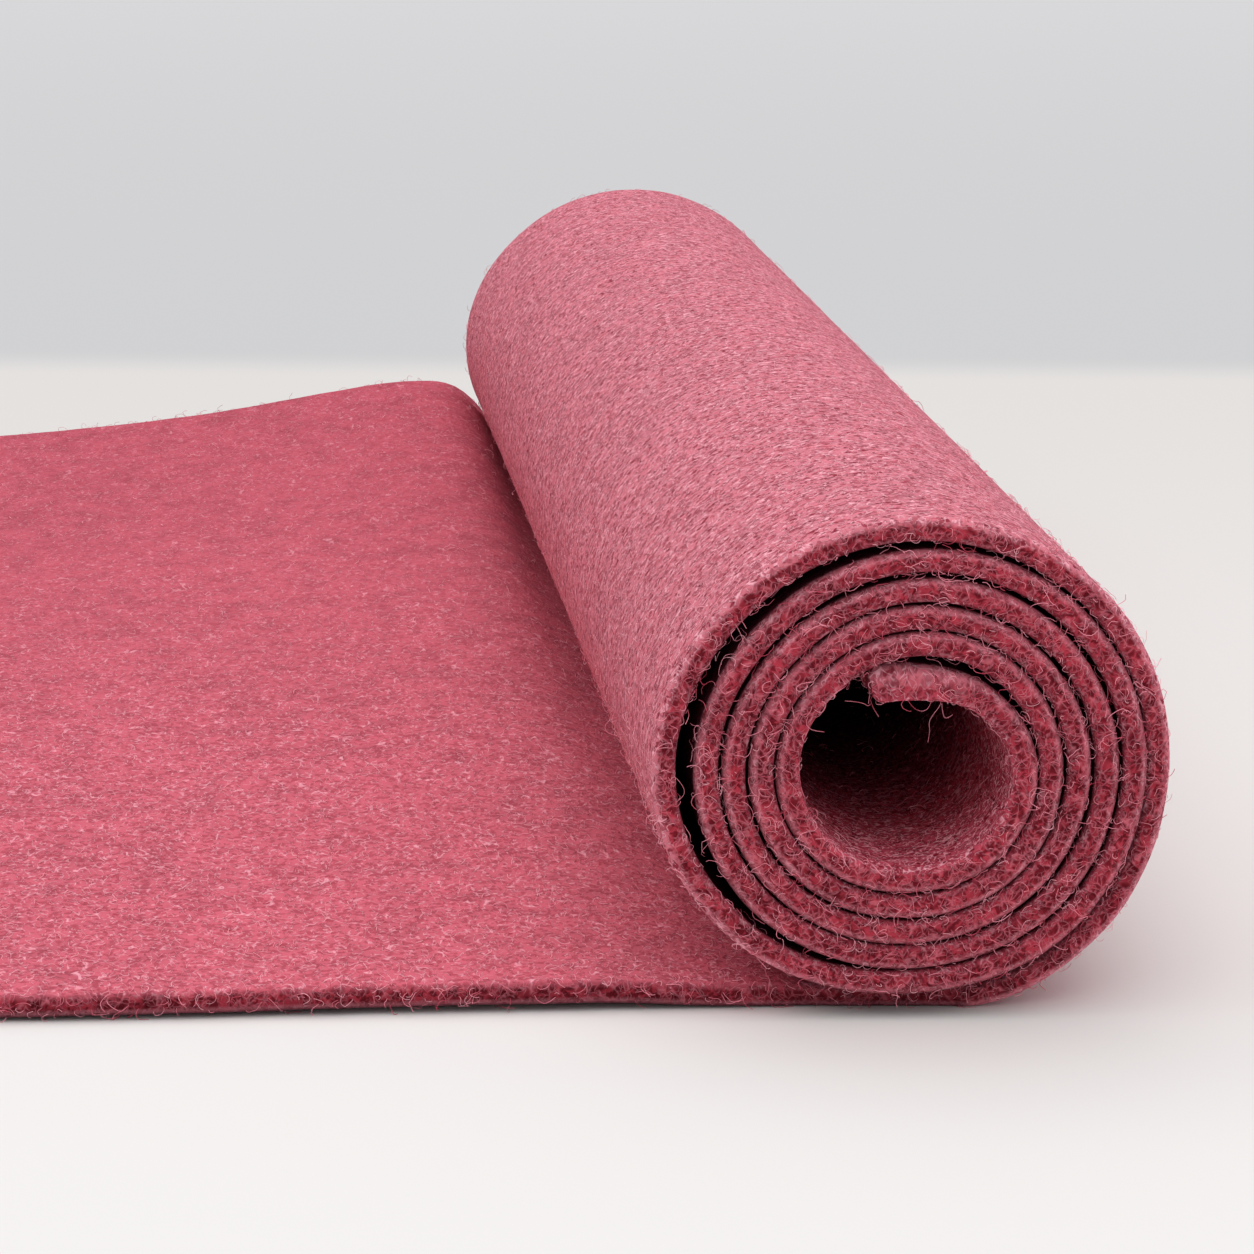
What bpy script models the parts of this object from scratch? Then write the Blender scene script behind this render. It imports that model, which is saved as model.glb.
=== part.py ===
"""A cut length of thick wool felt, partly rolled up, lying on a flat surface.

Units are metres and +Z is up. The roll's axis runs along Y. The sheet is one piece: its unrolled
end lies flat towards -X, passes under the roll and winds inwards to a free end in the open core.
The origin is on the surface, at the middle of the whole piece's footprint.
"""
import math

import bpy

MM = 0.001

# The cut piece, laid flat
FELT_WIDTH = 300 * MM
FELT_LENGTH = 1000 * MM
FELT_THICKNESS = 2.7 * MM

# The roll
CORE_HEIGHT = 31.0 * MM     # height of the core's centre above the surface
FLAT_SPOT = 7.0 * MM        # how far beyond the core's centre the sheet still lies flat
WOUND_ANGLE = 5 * 360 + 210  # degrees wound, counted from under the core's centre
KNOT_ANGLE = 45             # degrees from one column of the table below to the next

# Radius of the sheet's middle layer about the core's centre, in mm, outermost turn first.
# The loose outer turn leaves a crescent gap at the left, and the free inner end stands off the top.
WOUND_RADII_MM = (
    # bottom, lower right, right, upper right, top, upper left, left, lower left
    (29.60, 30.90, 29.40, 28.80, 28.60, 28.80, 29.70, 28.20),
    (26.40, 26.80, 26.30, 25.55, 24.90, 24.35, 24.75, 24.10),
    (23.30, 23.50, 23.00, 22.05, 21.40, 20.95, 21.45, 21.00),
    (20.20, 20.15, 19.60, 18.70, 18.15, 17.80, 18.25, 17.75),
    (17.05, 17.05, 16.35, 15.50, 15.00, 14.70, 15.10, 14.65),
    (13.90, 13.85, 13.20, 11.30, 10.10, 11.90, 13.60, 13.60),
)

# The outer turn is wound a little askew, so its edge starts behind the roll's end and comes level
EDGE_SET_BACK = 5.0 * MM
SKEW_START = -20            # degrees from under the core's centre
SKEW_END = 150

# Along its length the roll leans a little towards the unrolled sheet, and its far end lies lower
AXIS_LEAN = 2.0 * MM        # from the near edge to the far edge
FAR_END_SAG = 0.02          # share of the height

# The unrolled sheet still curls up against the roll at its far edge, and sinks flat further away.
# Each row is a place on the far edge: its distance from the core's centre and its lift, in mm.
FAR_EDGE_LIFT_MM = (
    # distance, lift
    (5, 0.0),
    (14, 2.4),
    (21, 6.2),
    (26, 11.2),
    (30, 16.6),
    (34, 19.6),
    (40, 20.2),
    (48, 19.4),
    (56, 18.0),
    (70, 15.3),
    (90, 12.2),
    (125, 8.4),
    (165, 4.4),
    (205, 1.4),
    (235, 0.0),
)
NEAR_EDGE_SHARE = 0.05      # the near edge lifts by this share of the far edge's lift
LIFT_POWER = 2              # between the edges the lift grows with this power of the way across

# How finely the sheet is divided
WOUND_STEP = 10             # degrees
TAIL_STEPS = 44
TAIL_CROWDING = 1.6         # above 1, the steps shorten towards the roll
WIDTH_STEPS = 6

FELT_COLOUR = (0.50, 0.105, 0.145, 1.0)
FELT_ROUGHNESS = 0.95


def clear_scene():
    for item in list(bpy.data.objects):
        bpy.data.objects.remove(item, do_unlink=True)


def hermite(start, end, start_slope, end_slope, t):
    """Smooth value between two knots; the slopes are per whole interval."""
    return (
        start * (2 * t**3 - 3 * t**2 + 1)
        + start_slope * (t**3 - 2 * t**2 + t)
        + end * (3 * t**2 - 2 * t**3)
        + end_slope * (t**3 - t**2)
    )


def wound_radius(angle):
    """Radius of the sheet's middle layer, from the angle wound so far in degrees."""
    radii = [value * MM for turn in WOUND_RADII_MM for value in turn]
    middle_height = CORE_HEIGHT - FELT_THICKNESS / 2
    flat_angle = math.atan2(FLAT_SPOT, middle_height)
    if math.radians(angle) <= flat_angle:
        return middle_height / math.cos(math.radians(angle))
    if angle < KNOT_ANGLE:
        span = math.radians(KNOT_ANGLE) - flat_angle
        t = (math.radians(angle) - flat_angle) / span
        start = middle_height / math.cos(flat_angle)
        end_slope = (radii[2] - radii[0]) / 2 * span / math.radians(KNOT_ANGLE)
        return hermite(start, radii[1], start * math.tan(flat_angle) * span, end_slope, t)
    knot = min(int(angle // KNOT_ANGLE), len(radii) - 3)
    t = angle / KNOT_ANGLE - knot
    before, start, end, after = radii[knot - 1:knot + 3]
    return hermite(start, end, (end - before) / 2, (after - start) / 2, t)


def wound_place(angle):
    """Place of the sheet's middle layer beside the core's axis: (x, height)."""
    radius = wound_radius(angle)
    turned = math.radians(angle - 90)
    return radius * math.cos(turned), CORE_HEIGHT + radius * math.sin(turned)


def wound_stations():
    """The rolled part of the sheet, from under the core's centre to the free inner end."""
    count = WOUND_ANGLE // WOUND_STEP
    return [(WOUND_STEP * i, *wound_place(WOUND_STEP * i)) for i in range(1, count + 1)]


def path_length(places):
    return sum(math.dist(a[1:], b[1:]) for a, b in zip(places, places[1:]))


def tail_stations(length):
    """The unrolled part, from its cut end to under the core's centre."""
    height = FELT_THICKNESS / 2
    places = []
    for i in range(TAIL_STEPS + 1):
        x = -length * (1 - i / TAIL_STEPS) ** TAIL_CROWDING
        angle = math.degrees(math.atan2(x, CORE_HEIGHT - height))
        places.append((angle, x, height))
    return places


def edge_set_back(angle):
    """How far the sheet's edge stands behind the roll's end."""
    t = min(max((angle - SKEW_START) / (SKEW_END - SKEW_START), 0), 1)
    return EDGE_SET_BACK * (0.5 + 0.5 * math.cos(math.pi * t))


def slope_at(rows, k):
    """Slope of the curve through the rows at row k; it starts and ends level."""
    if k in (0, len(rows) - 1):
        return 0.0
    return (rows[k + 1][1] - rows[k - 1][1]) / (rows[k + 1][0] - rows[k - 1][0])


def far_edge_lift(distance):
    """Lift of the far edge at a distance from the core's centre, along a smooth curve."""
    rows = [(place * MM, lift * MM) for place, lift in FAR_EDGE_LIFT_MM]
    if distance <= rows[0][0] or distance >= rows[-1][0]:
        return 0.0
    k = max(i for i, row in enumerate(rows) if row[0] <= distance)
    span = rows[k + 1][0] - rows[k][0]
    t = (distance - rows[k][0]) / span
    return hermite(rows[k][1], rows[k + 1][1], slope_at(rows, k) * span, slope_at(rows, k + 1) * span, t)


def sheet_place(station, across):
    """Point of the sheet's middle layer; across runs from 0 at the near edge to 1 at the far one."""
    angle, x, height = station
    lift = far_edge_lift(-x) if angle < 0 else 0.0
    share = NEAR_EDGE_SHARE + (1 - NEAR_EDGE_SHARE) * across**LIFT_POWER
    lowest = FELT_THICKNESS / 2
    sunk_height = lowest + (height + lift * share - lowest) * (1 - FAR_END_SAG * across)
    y = (across - 0.5) * FELT_WIDTH + edge_set_back(angle) - EDGE_SET_BACK / 2
    return x - AXIS_LEAN * (across - 0.5), y, sunk_height


def felt_material():
    material = bpy.data.materials.new("raspberry_wool_felt")
    material.use_nodes = True
    shader = material.node_tree.nodes["Principled BSDF"]
    shader.inputs["Base Color"].default_value = FELT_COLOUR
    shader.inputs["Roughness"].default_value = FELT_ROUGHNESS
    shader.inputs["Metallic"].default_value = 0.0
    return material


def rolled_felt(collection):
    """A flat grid, one cell deep in the cloth, bent to the rolled shape and given its thickness."""
    wound = wound_stations()
    under_core = (0.0, 0.0, FELT_THICKNESS / 2)
    tail_length = FELT_LENGTH - path_length([under_core, *wound])
    stations = tail_stations(tail_length) + wound
    steps = len(stations) - 1

    bpy.ops.mesh.primitive_grid_add(x_subdivisions=steps, y_subdivisions=WIDTH_STEPS, size=1)
    felt = bpy.context.object
    felt.name = "felt_sheet"
    for vertex in felt.data.vertices:
        station = stations[round((vertex.co.x + 0.5) * steps)]
        vertex.co = sheet_place(station, round((vertex.co.y + 0.5) * WIDTH_STEPS) / WIDTH_STEPS)

    right_side = max(x for _, x, _ in wound) + FELT_THICKNESS / 2
    felt.location.x = (tail_length - right_side) / 2
    felt.data.materials.append(felt_material())
    felt.data.shade_smooth()

    body = felt.modifiers.new("thickness", "SOLIDIFY")
    body.thickness = FELT_THICKNESS
    body.offset = 0
    body.use_even_offset = True
    for owner in felt.users_collection:
        owner.objects.unlink(felt)
    collection.objects.link(felt)
    return felt


def main():
    clear_scene()
    collection = bpy.data.collections.new("roll_of_felt")
    bpy.context.scene.collection.children.link(collection)
    rolled_felt(collection)


main()
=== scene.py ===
"""Thick raspberry wool felt, partly rolled up, with its fuzz, on a pale floor in soft studio light.

Units are metres, in the part's own frame: +Z is up and the roll's axis runs along Y.
The felt follows the same wound path as the solid that it replaces, only far more finely.
"""
import math

import bpy
import numpy as np
from mathutils import Matrix, Vector, noise


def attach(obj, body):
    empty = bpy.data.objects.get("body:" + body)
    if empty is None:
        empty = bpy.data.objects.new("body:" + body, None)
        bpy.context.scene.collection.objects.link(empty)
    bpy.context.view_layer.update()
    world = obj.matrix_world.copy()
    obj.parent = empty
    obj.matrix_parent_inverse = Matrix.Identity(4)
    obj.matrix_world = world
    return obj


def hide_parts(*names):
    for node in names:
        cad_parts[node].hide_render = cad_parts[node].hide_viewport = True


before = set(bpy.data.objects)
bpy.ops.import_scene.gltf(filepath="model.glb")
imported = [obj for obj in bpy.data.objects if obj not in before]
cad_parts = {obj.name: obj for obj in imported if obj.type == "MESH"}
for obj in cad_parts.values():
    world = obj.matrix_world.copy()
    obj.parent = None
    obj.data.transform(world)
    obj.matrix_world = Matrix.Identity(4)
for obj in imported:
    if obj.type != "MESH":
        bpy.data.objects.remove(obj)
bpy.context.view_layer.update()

MM = 0.001

# The camera stands where the photograph was taken from
CAMERA_PLACE = (0.0325, -0.5982, 0.1564)
CAMERA_YAW = -6.34          # degrees about +Z
CAMERA_PITCH = 13.57        # degrees downwards
CAMERA_ROLL = 1.51          # degrees
CAMERA_LENS = 115.12        # mm, on a 36 mm sensor

# The cut piece, laid flat
FELT_WIDTH = 300 * MM
FELT_LENGTH = 1000 * MM
SOLID_THICKNESS = 2.7 * MM
FELT_THICKNESS = 2.9 * MM

# The wound path, as in the solid
CORE_HEIGHT = 31.0 * MM
FLAT_SPOT = 7.0 * MM
WOUND_ANGLE = 5 * 360 + 210
KNOT_ANGLE = 45
WOUND_RADII_MM = (
    # bottom, lower right, right, upper right, top, upper left, left, lower left
    (29.60, 30.90, 29.40, 28.80, 28.60, 28.80, 29.70, 28.20),
    (26.40, 26.80, 26.30, 25.55, 24.90, 24.35, 24.75, 24.10),
    (23.30, 23.50, 23.00, 22.05, 21.40, 20.95, 21.45, 21.00),
    (20.20, 20.15, 19.60, 18.70, 18.15, 17.80, 18.25, 17.75),
    (17.05, 17.05, 16.35, 15.50, 15.00, 14.70, 15.10, 14.65),
    (13.90, 13.85, 13.20, 11.30, 10.10, 11.90, 13.60, 13.60),
)
EDGE_SET_BACK = 5.0 * MM
SKEW_START = -20
SKEW_END = 150
AXIS_LEAN = 2.0 * MM
FAR_END_SAG = 0.02
FAR_EDGE_LIFT_MM = (
    # distance from the core's centre, lift
    (5, 0.0), (14, 2.4), (21, 6.2), (26, 11.2), (30, 16.6), (34, 19.6), (40, 20.2), (48, 19.4),
    (56, 18.0), (70, 15.3), (90, 12.2), (125, 8.4), (165, 4.4), (205, 1.4), (235, 0.0),
)
NEAR_EDGE_SHARE = 0.05
LIFT_POWER = 2
SOLID_STEP = 10             # degrees; the solid's own steps set the unrolled length

# How finely the felt is divided
FINE_STEPS = 4              # places to a degree, from which the wound stations are picked
WOUND_STEP = 1.1 * MM
TAIL_STEP = 1.45 * MM
END_STEPS_MM = (0.0, 0.04, 0.14, 0.3, 0.55, 0.9, 1.35, 1.9)
ACROSS_STEPS_MM = (
    1.6, 2.4, 3.4, 4.7, 6.4, 8.5, 11, 14, 17.5, 21.5, 26, 31, 36.5, 42.5, 49, 56, 64, 72, 81, 90,
    101, 113, 125, 137, 149, 161, 173, 185, 197, 209, 221, 232, 243, 253, 262, 270, 277, 283,
    288, 292, 295.5, 298.0,
)
INNER_RIM_RADIUS = 0.8 * MM     # the corner between the cut and the face that winds inside
OUTER_RIM_RADIUS = 1.1 * MM     # the corner between the cut and the face that winds outside
CUT_STEPS = 6

# How the soft felt departs from the smooth path; each layer has its hills to a metre and its share
LUMP_HEIGHT = 0.2 * MM
LUMP_LAYERS = ((75, 0.5), (190, 0.32))
EDGE_WAVER = 0.3 * MM
WAVER_LAYERS = ((38, 1.0), (150, 0.4))
WAVER_REACH = 6 * MM
CUT_ROUGHNESS = 0.1 * MM
ROUGHNESS_LAYERS = ((420, 1.0), (900, 0.7))
NOISE_SHIFT = 17.3          # carries each layer's noise away from the one before
TIP_SWELLING = 0.7 * MM     # extra thickness under the free inner end, where it faces the core
TIP_RISE = 1.15 * MM        # extra thickness above it
TIP_REACH = 12 * MM
TIP_SLOPE = 0.9 * MM        # how far the top of its near edge leans back
TIP_SLOPE_REACH = 4 * MM
TIP_ROUNDING = 1.5 * MM
TIP_LEAST = 0.5             # share of the thickness that is left at the very end
START_ROUNDING = 0.8 * MM
START_LEAST = 0.4
FLOOR_CLEARANCE = 0.02 * MM
TAIL_SKEW = 0.028           # how far the unrolled part swings towards the near side, for each metre
TAIL_SKEW_START = 12 * MM   # distance from the core's centre
TAIL_SKEW_END = 100 * MM

# Which stretches of the felt show, in degrees wound
TAIL_END = 15               # up to here the felt lies on the floor
INSIDE_START = -5           # from here the inside face has the roll on it
OUTSIDE_END = 335           # up to here the outside face is the roll's outside
TAIL_FUZZ_END = -30         # loose fibres stop here, before the roll comes down on the sheet
OUTSIDE_FUZZ_START = 20
CORE_FUZZ_START = WOUND_ANGLE - 340
CORE_START = WOUND_ANGLE - 350      # from here the inside face is the open core's wall

# Where the felt has the cut's look, from 0 to 1
BETWEEN_SHARE = 0.45        # at least this much at the corners between two turns
BETWEEN_REACH = 0.95 * OUTER_RIM_RADIUS     # how far from the edge that holds
TIP_PALENESS = 0.38         # how much of it the free inner end's rims lose
TIP_PALE_START = WOUND_ANGLE - 75
TIP_PALE_END = WOUND_ANGLE - 30

# Painted shade: how dark the felt is painted where it is shut away from the light, from 0 to 1
TAIL_CUT_DARK = (0.15, 0.6)         # at the cut's top, and how much more for the square of the way down
TAIL_CUT_DEPTH = 0.3 * MM
UNDERSIDE_DARK = 0.8
UNDERSIDE_RUN = (0.65 * MM, 1.05 * MM)      # how far below the felt's middle
CORE_DARK = 0.9
CORE_RUN = (15 * MM, 65 * MM)       # depth from the near or far edge
GROOVE_DARK = 0.55
GROOVE_RUN = (0.35, 0.95)           # share of the way from the felt's middle to its face
SHUT_RUN = (0.44 * MM, 1.14 * MM)   # depth from the edge, between two turns

# Where loose fibres grow
FAR_FUZZ = 0.12             # how much of it the faces have at their far edge, against the near one
FUZZ_FALL = 4               # the power with which it falls off towards there
LEAST_RISE = 0.3            # how much a face of the unrolled part turns upwards at least
MOST_CUT = 0.2              # how much of the cut's look a face still has at most
RIM_GAIN = 2.0              # how quickly the rims fill up with the cut's look

# The floor, which is shaded along Y
FLOOR_SIDE = 24.0
FLOOR_RUN = (-0.3, 0.3)
WALL_START = (0.28, 0.315)          # where the floor gives way to the greyer ground behind
WALL_RUN = (0.3, 1.6)

# Single fibres that stand clear of the felt, as points in mm in the part's frame
STRAY_FIBRES_MM = (
    ((84.9, -118.5, 32.8), (83.7, -118, 32.6), (82.3, -118, 31.7), (82.3, -118, 30.7), (83.7, -118, 30.3)),
    ((85.2, -125.5, 30.5), (84.2, -125, 30.2), (82.9, -125, 29.5), (82.6, -125, 28.7), (83.1, -125, 28.0),
     (84.3, -125, 27.7), (85.6, -125, 28.1)),
    ((119.3, -151.5, 39.2), (119.2, -151.6, 38.5), (118.4, -151.6, 37.5), (117.9, -151.4, 36.4),
     (118.2, -151.2, 35.3), (118.0, -151.0, 33.9)),
    ((115.0, -152.0, 39.7), (115.3, -152.4, 39.1), (116.0, -152.4, 38.3), (117.0, -152.2, 37.9),
     (117.8, -152.2, 38.4), (118.0, -152.0, 39.2)),
    ((94.0, -152.3, 49.3), (94.6, -152.6, 48.5), (95.3, -152.6, 47.3), (95.7, -152.2, 46.2)),
    ((86.3, -150.0, 26.6), (85.5, -150.2, 26.2), (84.7, -150.2, 25.4), (84.4, -150.2, 24.2),
     (85.4, -150.2, 24.0), (87.2, -150.0, 23.4)),
    ((88.3, -152.2, 30.0), (88.8, -152.6, 29.5), (89.3, -152.6, 28.6), (89.1, -152.6, 27.8),
     (88.2, -152.4, 27.0)),
    ((110.8, -152.2, 38.9), (110.6, -152.6, 38.6), (109.6, -152.8, 39.3), (107.7, -152.8, 39.4)),
    ((110.8, -152.2, 39.3), (110.9, -152.6, 38.9), (111.3, -152.6, 38.1), (111.8, -152.4, 37.4)),
    ((119.3, -151.8, 38.8), (119.4, -152.0, 37.7), (119.8, -151.8, 36.8), (120.7, -151.6, 37.4)),
    ((104.4, -126.3, 61.0), (105.5, -121.3, 62.3), (106.9, -118.8, 62.3), (108.2, -117.4, 61.0)),
    ((93.0, -152.4, 30.2), (94.2, -152.6, 29.8), (95.2, -152.4, 30.1)),
)


def hermite(start, end, start_slope, end_slope, t):
    """Smooth value between two knots; the slopes are per whole interval."""
    return (
        start * (2 * t**3 - 3 * t**2 + 1)
        + start_slope * (t**3 - 2 * t**2 + t)
        + end * (3 * t**2 - 2 * t**3)
        + end_slope * (t**3 - t**2)
    )


RADII = [value * MM for turn in WOUND_RADII_MM for value in turn]


def wound_radius(angle):
    """Radius of the sheet's middle layer, from the angle wound so far in degrees."""
    middle_height = CORE_HEIGHT - SOLID_THICKNESS / 2
    flat_angle = math.atan2(FLAT_SPOT, middle_height)
    if math.radians(angle) <= flat_angle:
        return middle_height / math.cos(math.radians(angle))
    if angle < KNOT_ANGLE:
        span = math.radians(KNOT_ANGLE) - flat_angle
        t = (math.radians(angle) - flat_angle) / span
        start = middle_height / math.cos(flat_angle)
        end_slope = (RADII[2] - RADII[0]) / 2 * span / math.radians(KNOT_ANGLE)
        return hermite(start, RADII[1], start * math.tan(flat_angle) * span, end_slope, t)
    knot = min(int(angle // KNOT_ANGLE), len(RADII) - 3)
    t = angle / KNOT_ANGLE - knot
    before, start, end, after = RADII[knot - 1:knot + 3]
    return hermite(start, end, (end - before) / 2, (after - start) / 2, t)


def wound_place(angle):
    """Place of the sheet's middle layer beside the core's axis: (x, height)."""
    radius = wound_radius(angle)
    turned = math.radians(angle - 90)
    return radius * math.cos(turned), CORE_HEIGHT + radius * math.sin(turned)


def path_length(places):
    """Length of the line through the places."""
    return sum(math.dist(a, b) for a, b in zip(places, places[1:]))


def far_edge_lift(distance):
    """Lift of the far edge at a distance from the core's centre, along a smooth curve."""
    rows = [(place * MM, lift * MM) for place, lift in FAR_EDGE_LIFT_MM]
    if distance <= rows[0][0] or distance >= rows[-1][0]:
        return 0.0
    slopes = [0.0]
    for before, after in zip(rows, rows[2:]):
        slopes.append((after[1] - before[1]) / (after[0] - before[0]))
    slopes.append(0.0)
    k = max(i for i, row in enumerate(rows) if row[0] <= distance)
    span = rows[k + 1][0] - rows[k][0]
    t = (distance - rows[k][0]) / span
    return hermite(rows[k][1], rows[k + 1][1], slopes[k] * span, slopes[k + 1] * span, t)


SOLID_PATH = [(0.0, SOLID_THICKNESS / 2)]
SOLID_PATH += [wound_place(angle) for angle in range(SOLID_STEP, WOUND_ANGLE + 1, SOLID_STEP)]
TAIL_LENGTH = FELT_LENGTH - path_length(SOLID_PATH)
CORE_X = (TAIL_LENGTH - max(x for x, _ in SOLID_PATH) - SOLID_THICKNESS / 2) / 2


def felt_stations():
    """Stations along the path, from the tail's cut end: distance, wound angle, x, height."""
    middle = SOLID_THICKNESS / 2
    first = END_STEPS_MM[-1] * MM
    count = round((TAIL_LENGTH - first) / TAIL_STEP)
    tail = [step * MM for step in END_STEPS_MM]
    tail += [first + (TAIL_LENGTH - first) * i / count for i in range(1, count + 1)]
    stations = []
    for along in tail:
        x = along - TAIL_LENGTH
        stations.append((along, math.degrees(math.atan2(x, CORE_HEIGHT - middle)), x, middle))
    fine = [i / FINE_STEPS for i in range(WOUND_ANGLE * FINE_STEPS + 1)]
    places = [wound_place(angle) for angle in fine]
    lengths = [0.0]
    for a, b in zip(places, places[1:]):
        lengths.append(lengths[-1] + math.dist(a, b))
    last = lengths[-1] - first
    count = round(last / WOUND_STEP)
    wanted = [last * i / count for i in range(1, count + 1)]
    wanted += [lengths[-1] - step * MM for step in reversed(END_STEPS_MM[:-1])]
    for along, angle in zip(wanted, np.interp(wanted, lengths, fine)):
        stations.append((TAIL_LENGTH + along, float(angle), *wound_place(float(angle))))
    return stations


def rim_profile():
    """The cut rim from its top corner to its bottom one: depth from the edge, height, cut share."""
    half = FELT_THICKNESS / 2
    rim = []
    for degrees, cut in ((0, 0.0), (45, 0.4)):
        turned = math.radians(degrees)
        drop = INNER_RIM_RADIUS * (1 - math.cos(turned))
        rim.append((INNER_RIM_RADIUS * (1 - math.sin(turned)), half - drop, cut))
    top = half - INNER_RIM_RADIUS
    bottom = OUTER_RIM_RADIUS - half
    for i in range(CUT_STEPS + 1):
        rim.append((0.0, top + (bottom - top) * i / CUT_STEPS, 1.0))
    for degrees, cut in ((65, 0.4), (42, 0.05), (20, 0.0), (0, 0.0)):
        turned = math.radians(degrees)
        rise = OUTER_RIM_RADIUS * (1 - math.cos(turned))
        rim.append((OUTER_RIM_RADIUS * (1 - math.sin(turned)), rise - half, cut))
    return rim


def section_ring():
    """Points round the cross-section: across, height, cut share, distance round it.

    They run over the top face from near to far, down the far rim, back under the bottom face and up
    the near rim. The distances start at the top face's near side, and break below the far rim.
    """
    half = FELT_THICKNESS / 2
    rim = rim_profile()
    top = [(step * MM, half, 0.0) for step in ACROSS_STEPS_MM]
    far = [(FELT_WIDTH - depth, height, cut) for depth, height, cut in rim]
    bottom = [(step * MM, -half, 0.0) for step in reversed(ACROSS_STEPS_MM)]
    near = [(depth, height, cut) for depth, height, cut in reversed(rim)]

    def distances(points, way):
        total = [0.0]
        for a, b in zip(points, points[1:]):
            total.append(total[-1] + way * math.dist(a[:2], b[:2]))
        return total

    forwards = distances(top + far, 1)
    backwards = distances([top[0]] + (bottom + near)[::-1], -1)[1:]
    return [(*point, run) for point, run in zip(top + far + bottom + near, forwards + backwards[::-1])]


def hills(places, layers, first_seed):
    """Smooth noise at each of the places, as the sum of the layers."""
    total = 0.0
    for seed, (scale, share) in enumerate(layers, first_seed):
        shifted = places.reshape(-1, 3) * scale + seed * NOISE_SHIFT
        values = np.array([noise.noise(Vector(place)) for place in shifted])
        total = total + values.reshape(places.shape[:-1]) * share
    return total


def felt_points(stations, ring):
    """Where every point of the felt's skin lies."""
    along, angle, x, z = (np.array(column) for column in zip(*stations))
    across, height, cut, round_it = (np.array(column) for column in zip(*ring))
    lift = np.array([far_edge_lift(-s[2]) if s[1] < 0 else 0.0 for s in stations])
    skew = np.clip((angle - SKEW_START) / (SKEW_END - SKEW_START), 0, 1)
    back = EDGE_SET_BACK * 0.5 * np.cos(math.pi * skew)
    swung = np.clip(-x - TAIL_SKEW_START, 0, TAIL_SKEW_END - TAIL_SKEW_START)
    back = back - TAIL_SKEW * swung * (angle < 0)

    def middle(t):
        lowest = SOLID_THICKNESS / 2
        share = NEAR_EDGE_SHARE + (1 - NEAR_EDGE_SHARE) * np.abs(t[None, :])**LIFT_POWER
        places = np.empty((len(stations), len(t), 3))
        places[..., 0] = CORE_X + x[:, None] - AXIS_LEAN * (t[None, :] - 0.5)
        places[..., 1] = (t[None, :] - 0.5) * FELT_WIDTH + back[:, None]
        raised = z[:, None] + lift[:, None] * share - lowest
        places[..., 2] = lowest + raised * (1 - FAR_END_SAG * t[None, :])
        return places

    t = across / FELT_WIDTH
    places = middle(t)
    nudge = 0.002
    side = middle(t + nudge) - middle(t - nudge)
    side /= np.linalg.norm(side, axis=2, keepdims=True)
    normal = np.cross(np.gradient(places, along, axis=0), side)
    normal /= np.linalg.norm(normal, axis=2, keepdims=True)

    # Distances along and round the felt, for the lumps
    flat = np.zeros(places.shape)
    flat[..., 0] = along[:, None]
    flat[..., 1] = round_it[None, :]
    face = np.sign(height)[None, :]
    lumps = hills(flat, LUMP_LAYERS, 1) * (LUMP_HEIGHT * (1 - 0.6 * cut[None, :]))

    # The cut ends are rounded like the long rims, and the free inner end is thicker on both sides
    half = FELT_THICKNESS / 2
    near_tip = np.exp(-((along[-1] - along) / TIP_REACH)**2)[:, None]
    under, over = (np.clip(sign * height, 0, None)[None, :] / half for sign in (1, -1))
    level = height[None, :] + near_tip * (TIP_SWELLING * under - TIP_RISE * over)
    from_tip = np.clip((along[-1] - along) / TIP_ROUNDING, 0, 1)
    from_start = np.clip(along / START_ROUNDING, 0, 1)
    tip_fullness = TIP_LEAST + (1 - TIP_LEAST) * np.sqrt(1 - (1 - from_tip)**2)
    start_fullness = START_LEAST + (1 - START_LEAST) * np.sqrt(1 - (1 - from_start)**2)
    fullness = np.minimum(tip_fullness, start_fullness)
    middle_level = (TIP_SWELLING - TIP_RISE) / 2 * near_tip
    level = middle_level + (level - middle_level) * fullness[:, None]

    # The long rims waver, and their cut faces are rough
    edge = np.zeros(places.shape)
    edge[..., 0] = along[:, None]
    edge[..., 1] = np.where(across < FELT_WIDTH / 2, 0.0, 1.0)[None, :]
    depth = np.minimum(across, FELT_WIDTH - across)
    waver = hills(edge, WAVER_LAYERS, 3) * EDGE_WAVER * np.exp(-depth / WAVER_REACH)[None, :]
    crumbs = hills(flat, ROUGHNESS_LAYERS, 5) * CUT_ROUGHNESS * cut[None, :]
    outwards = np.where(across < FELT_WIDTH / 2, -1.0, 1.0)[None, :]
    crumbs = crumbs - TIP_SLOPE * near_tip * over * np.clip(1 - depth / TIP_SLOPE_REACH, 0, 1)[None, :]

    raised = normal * (level + face * lumps)[..., None]
    spread = side * (outwards * (waver + crumbs))[..., None]
    points = places + raised + spread
    points[..., 2] = np.maximum(points[..., 2], FLOOR_CLEARANCE)
    return points


def ramp(value, start, end):
    """0 up to the start, 1 from the end on, and rising evenly between them."""
    return min(max((value - start) / (end - start), 0.0), 1.0)


def between_turns(angle, height):
    """Whether the felt's face on this side lies against another turn."""
    if height < 0:
        return angle > OUTSIDE_END
    return INSIDE_START < angle < CORE_START


def cut_share(angle, across, height, share):
    """How much of the cut's look a point has.

    It reaches round the corners where two turns meet, and the free inner end is softer and paler.
    """
    depth = min(across, FELT_WIDTH - across)
    if between_turns(angle, height) and depth < BETWEEN_REACH:
        share = max(share, BETWEEN_SHARE)
    return share * (1 - TIP_PALENESS * ramp(angle, TIP_PALE_START, TIP_PALE_END))


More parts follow.
